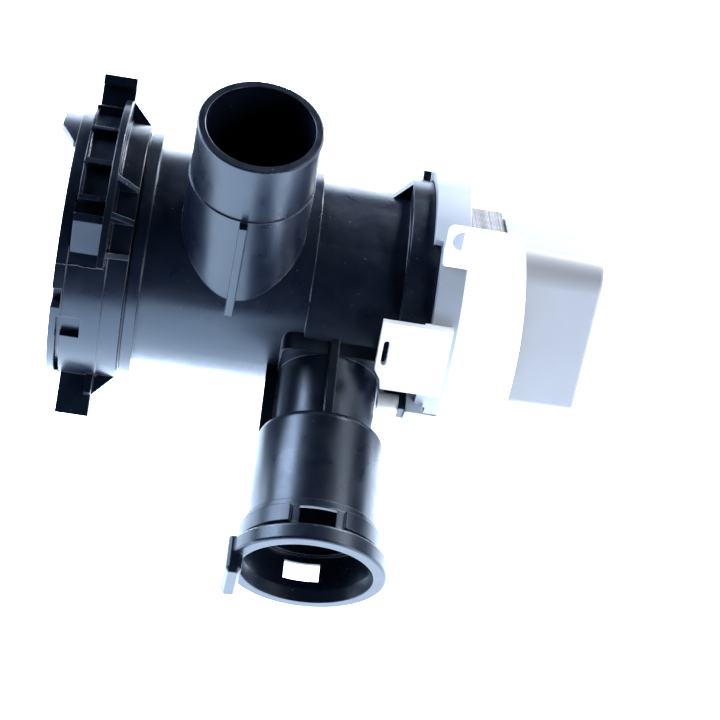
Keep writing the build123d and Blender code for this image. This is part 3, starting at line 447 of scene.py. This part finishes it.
def make_lamps(studio):
    """The soft lamps round the pump."""
    for name, place, size, share, colour in LAMPS:
        lamp = bpy.data.lights.new(name, "AREA")
        lamp.shape = "SQUARE"
        lamp.size = size
        lamp.energy = studio.lamp_power * share
        lamp.color = colour
        held = bpy.data.objects.new(name, lamp)
        held.location = place
        held.rotation_euler = (LAMP_TARGET - Vector(place)).to_track_quat("-Z", "Y").to_euler()
        bpy.context.scene.collection.objects.link(held)


def make_camera():
    """The camera of the photograph."""
    lens = bpy.data.cameras.new("photo_camera")
    lens.lens = CAMERA_LENS
    lens.sensor_width = 36.0
    lens.clip_start = 0.01
    camera = bpy.data.objects.new("photo_camera", lens)
    turned = Matrix((CAMERA_RIGHT, CAMERA_UP, CAMERA_BACK)).transposed()
    camera.matrix_world = Matrix.Translation(CAMERA_PLACE) @ turned.to_4x4()
    bpy.context.scene.collection.objects.link(camera)
    bpy.context.scene.camera = camera


# One operator for each piece or group of like pieces


class DRAIN_PUMP_OT_stage(bpy.types.Operator):
    """Makes the pale floor, the soft lights and the camera at the photographed angle"""

    bl_idname = "drain_pump.stage"
    bl_label = "Studio"

    def execute(self, context):
        studio = context.scene.pump_studio
        make_floor(studio)
        make_room(studio)
        make_lamps(studio)
        make_camera()
        context.scene.view_settings.view_transform = "Standard"
        return {"FINISHED"}


class DRAIN_PUMP_OT_housing(bpy.types.Operator):
    """Finishes the black housing"""

    bl_idname = "drain_pump.housing"
    bl_label = "Pump housing"

    def execute(self, context):
        surface = context.scene.pump_surface
        black = surface.housing_colour
        material = new_material(
            "black_moulding", moulded_skin_group(),
            plastic(black, [c * 1.5 for c in black], (0.05, 0.055, 0.075),
                    Roughness=0.31, Smudge=0.05, Rubbing=0.4, Dust=0.6),
            specular_tint=(0.7, 0.82, 1.0, 1.0), ior=1.5,
        )
        dress(["pump_housing"], material)
        return {"FINISHED"}


class DRAIN_PUMP_OT_collar_flash(bpy.types.Operator):
    """Lays the thin wavy flash of the mould's parting line across the filter collar"""

    bl_idname = "drain_pump.collar_flash"
    bl_label = "Collar flash"

    def execute(self, context):
        detail = context.scene.pump_detail
        material = bpy.data.materials["black_moulding"].copy()
        material.name = "flash_painted_highlight"
        skin = next(node for node in material.node_tree.nodes if node.type == "GROUP")
        # Painted highlight: the flash gets the housing's black lightened to a bluish grey
        skin.inputs["Colour"].default_value = opaque((0.03, 0.035, 0.05))
        skin.inputs["Drift Colour"].default_value = opaque((0.12, 0.13, 0.16))
        waves = bpy.data.textures.new("flash_waves", "CLOUDS")
        waves.noise_scale = FLASH_WAVE
        turn = Matrix.Rotation(-FLASH_ANGLE, 3, "X")
        for name, start, end, radius in FLASH_RUNS:
            deselect_all()
            bpy.ops.mesh.primitive_cube_add(size=1)
            ridge = context.object
            ridge.scale = ((end - start) * MM, 2 * detail.flash_height, detail.flash_height)
            bpy.ops.object.transform_apply(location=False, rotation=False, scale=True)
            bpy.ops.object.mode_set(mode="EDIT")
            bpy.ops.mesh.select_all(action="SELECT")
            bpy.ops.mesh.subdivide(number_cuts=FLASH_CUTS)
            bpy.ops.object.mode_set(mode="OBJECT")
            sway = ridge.modifiers.new("sway", "DISPLACE")
            sway.texture = waves
            sway.texture_coords = "LOCAL"
            sway.direction = "Z"
            sway.strength = FLASH_SWAY
            sway.mid_level = 0.5
            bpy.ops.object.modifier_apply(modifier=sway.name)
            bpy.ops.object.shade_smooth_by_angle(angle=SMOOTH_ANGLE)
            ridge.rotation_euler = (-FLASH_ANGLE, 0, 0)
            ridge.location = turn @ Vector(((start + end) / 2 * MM, -radius * MM, 0))
            settle(ridge, name, "housing", material)
        return {"FINISHED"}


class DRAIN_PUMP_OT_filter_insert(bpy.types.Operator):
    """Finishes the filter cap and its basket, the valve and every rubber seal"""

    bl_idname = "drain_pump.filter_insert"
    bl_label = "Filter insert"

    def execute(self, context):
        cap = new_material(
            "cap_moulding", moulded_skin_group(),
            plastic((0.018, 0.02, 0.026), (0.024, 0.026, 0.034), (0.09, 0.095, 0.11),
                    Roughness=0.36, Smudge=0.08, Rubbing=0.5, Dust=0.2, grain=0.07),
        )
        dress(["filter_cap", "filter_basket", "valve_seat"], cap)
        rubber = new_material(
            "seal_rubber_skin", moulded_skin_group(),
            plastic((0.012, 0.012, 0.013), (0.02, 0.019, 0.018), (0.06, 0.06, 0.06),
                    Roughness=0.62, Smudge=0.08, Rubbing=0.3, Dust=0.5, grain=0.1),
        )
        dress(["filter_seal", "valve_flap", "flange_seal", "bearing_holder", "shaft_seal"], rubber)
        return {"FINISHED"}


class DRAIN_PUMP_OT_impeller(bpy.types.Operator):
    """Finishes the impeller, its cover and the drive dog"""

    bl_idname = "drain_pump.impeller"
    bl_label = "Impeller"

    def execute(self, context):
        material = new_material(
            "impeller_moulding", moulded_skin_group(),
            plastic((0.6, 0.585, 0.53), (0.66, 0.64, 0.59), (0.75, 0.74, 0.7),
                    Roughness=0.38, Smudge=0.08, Rubbing=0.4, Dust=0.1),
        )
        dress(["impeller", "impeller_cover", "drive_dog"], material)
        return {"FINISHED"}


class DRAIN_PUMP_OT_metal(bpy.types.Operator):
    """Finishes the shaft, magnet, bearings, core, rivets, screw and terminals"""

    bl_idname = "drain_pump.metal"
    bl_label = "Metal parts"

    def execute(self, context):
        group = worked_metal_group()
        steel = new_material(
            "ground_steel", group,
            {"Colour": (0.55, 0.56, 0.58, 1), "Dull Colour": (0.33, 0.33, 0.34, 1), "Roughness": 0.26,
             "Line Depth": 0.15, "Stretch": ALONG_X}, metallic=1.0)
        dress(["rotor_shaft", "valve_pin", "core_rivets"], steel)
        zinc = new_material(
            "zinc_plate", group,
            {"Colour": (0.62, 0.63, 0.65, 1), "Dull Colour": (0.42, 0.43, 0.44, 1), "Roughness": 0.45,
             "Line Depth": 0.1, "Stretch": ALONG_X}, metallic=0.35)
        dress(["motor_screw"], zinc)
        bronze = new_material(
            "sintered_bronze", group,
            {"Colour": (0.5, 0.3, 0.13, 1), "Dull Colour": (0.28, 0.16, 0.08, 1), "Roughness": 0.45,
             "Line Depth": 0.3, "Stretch": NO_STRETCH}, metallic=1.0)
        dress(["front_bearing", "rear_bearing"], bronze)
        tin = new_material(
            "tinned_blade", group,
            {"Colour": (0.78, 0.78, 0.76, 1), "Dull Colour": (0.5, 0.5, 0.49, 1), "Roughness": 0.3,
             "Line Depth": 0.1, "Stretch": ACROSS_X}, metallic=1.0)
        dress(["terminal_blades"], tin)
        magnet = new_material(
            "pressed_ferrite", group,
            {"Colour": (0.05, 0.05, 0.052, 1), "Dull Colour": (0.025, 0.025, 0.027, 1), "Roughness": 0.5,
             "Line Depth": 0.3, "Stretch": NO_STRETCH})
        dress(["rotor_magnet"], magnet)
        sheets = new_material(
            "stacked_core_sheet", stacked_sheet_group(),
            {"Colour": (0.36, 0.37, 0.39, 1), "Gap Colour": (0.07, 0.055, 0.05, 1),
             "Sheet Thickness": SHEET_THICKNESS}, metallic=0.85)
        dress(["stator_core"], sheets)
        return {"FINISHED"}


class DRAIN_PUMP_OT_motor_plastics(bpy.types.Operator):
    """Finishes the motor flange in the white plastic darkened and tinted blue as painted shade, the white
    plastics of the motor and the grey rear cover
    """

    bl_idname = "drain_pump.motor_plastics"
    bl_label = "Motor plastics"

    def execute(self, context):
        surface = context.scene.pump_surface
        white = surface.white_colour
        bright = new_material(
            "white_moulding", moulded_skin_group(),
            plastic(white, [c * 0.96 for c in white], (0.93, 0.93, 0.94),
                    Roughness=0.38, Smudge=0.06, Rubbing=0.5, Dust=0.03),
        )
        dress(["rotor_can", "stator_frame", "lock_bracket", "coil_cover", "coil_bobbin"], bright)
        # Painted shade: the flange gets the white plastic darkened and tinted blue
        flange_shaded_white = surface.flange_painted_shade_colour
        ring = new_material(
            "flange_painted_shade_moulding", moulded_skin_group(),
            plastic(flange_shaded_white, [c * 0.97 for c in flange_shaded_white], (0.86, 0.87, 0.88),
                    Roughness=0.36, Smudge=0.06, Rubbing=0.5, Dust=0.03),
        )
        dress(["motor_flange"], ring)
        grey = surface.rear_colour
        rear = new_material(
            "rear_cover_moulding", moulded_skin_group(),
            plastic(grey, [c * 1.1 for c in grey], (0.55, 0.56, 0.66),
                    Roughness=0.42, Smudge=0.06, Rubbing=0.5, Dust=0.05, grain=0.06),
        )
        dress(["rear_cover"], rear)
        return {"FINISHED"}


class DRAIN_PUMP_OT_winding(bpy.types.Operator):
    """Models the coil's turns of enamelled wire round the bobbin"""

    bl_idname = "drain_pump.winding"
    bl_label = "Coil winding"

    def execute(self, context):
        detail = context.scene.pump_detail
        wire = detail.wire_radius
        corner = COIL_CORNER - wire
        half = (COIL_HALF_WIDTH - wire - corner, COIL_HALF_DEPTH - wire - corner)
        deselect_all()
        bpy.ops.mesh.primitive_torus_add(
            major_radius=corner, minor_radius=wire, major_segments=24, minor_segments=8)
        ring = context.object
        for vertex in ring.data.vertices:
            for axis in (0, 1):
                if abs(vertex.co[axis]) > ON_AXIS:
                    vertex.co[axis] += math.copysign(half[axis], vertex.co[axis])
        stack = ring.modifiers.new("turns", "ARRAY")
        stack.count = detail.wire_turns
        stack.use_relative_offset = False
        stack.use_constant_offset = True
        pitch = COIL_HEIGHT / detail.wire_turns
        stack.constant_offset_displace = (0, 0, pitch)
        bpy.ops.object.modifier_apply(modifier=stack.name)
        bpy.ops.object.shade_smooth()
        ring.rotation_euler = (-MOTOR_TILT, 0, 0)
        turned = Matrix.Rotation(-MOTOR_TILT, 3, "X")
        ring.location = turned @ (COIL_CENTRE + Vector((0, 0, (pitch - COIL_HEIGHT) / 2)))
        enamel = new_material(
            "enamelled_copper", worked_metal_group(),
            {"Colour": (0.5, 0.17, 0.06, 1), "Dull Colour": (0.36, 0.1, 0.035, 1), "Roughness": 0.28,
             "Line Depth": 0.05, "Stretch": NO_STRETCH},
            metallic=0.9, coat_weight=0.6, coat_roughness=0.12)
        settle(ring, "winding_turns", "housing", enamel)
        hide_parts("coil_winding")
        return {"FINISHED"}


class DRAIN_PUMP_PT_panel(bpy.types.Panel):
    """Lists the settings and the makers of the pieces"""

    bl_label = "Drain pump"
    bl_idname = "DRAIN_PUMP_PT_panel"
    bl_space_type = "VIEW_3D"
    bl_region_type = "UI"
    bl_category = "Drain pump"

    def draw(self, context):
        for group in (context.scene.pump_surface, context.scene.pump_detail, context.scene.pump_studio):
            for name in group.__annotations__:
                self.layout.prop(group, name)
        for step in STEPS:
            self.layout.operator(step.bl_idname)


STEPS = (
    DRAIN_PUMP_OT_stage,
    DRAIN_PUMP_OT_housing,
    DRAIN_PUMP_OT_collar_flash,
    DRAIN_PUMP_OT_filter_insert,
    DRAIN_PUMP_OT_impeller,
    DRAIN_PUMP_OT_metal,
    DRAIN_PUMP_OT_motor_plastics,
    DRAIN_PUMP_OT_winding,
)
SETTINGS = (PumpSurface, PumpDetail, PumpStudio)


def register():
    for made in (*SETTINGS, *STEPS, DRAIN_PUMP_PT_panel):
        bpy.utils.register_class(made)
    bpy.types.Scene.pump_surface = PointerProperty(type=PumpSurface)
    bpy.types.Scene.pump_detail = PointerProperty(type=PumpDetail)
    bpy.types.Scene.pump_studio = PointerProperty(type=PumpStudio)


def unregister():
    for name in ("pump_surface", "pump_detail", "pump_studio"):
        delattr(bpy.types.Scene, name)
    for made in reversed((*SETTINGS, *STEPS, DRAIN_PUMP_PT_panel)):
        bpy.utils.unregister_class(made)


def main():
    register()
    for step in STEPS:
        area, name = step.bl_idname.split(".")
        getattr(getattr(bpy.ops, area), name)()


if __name__ == "__main__":
    main()
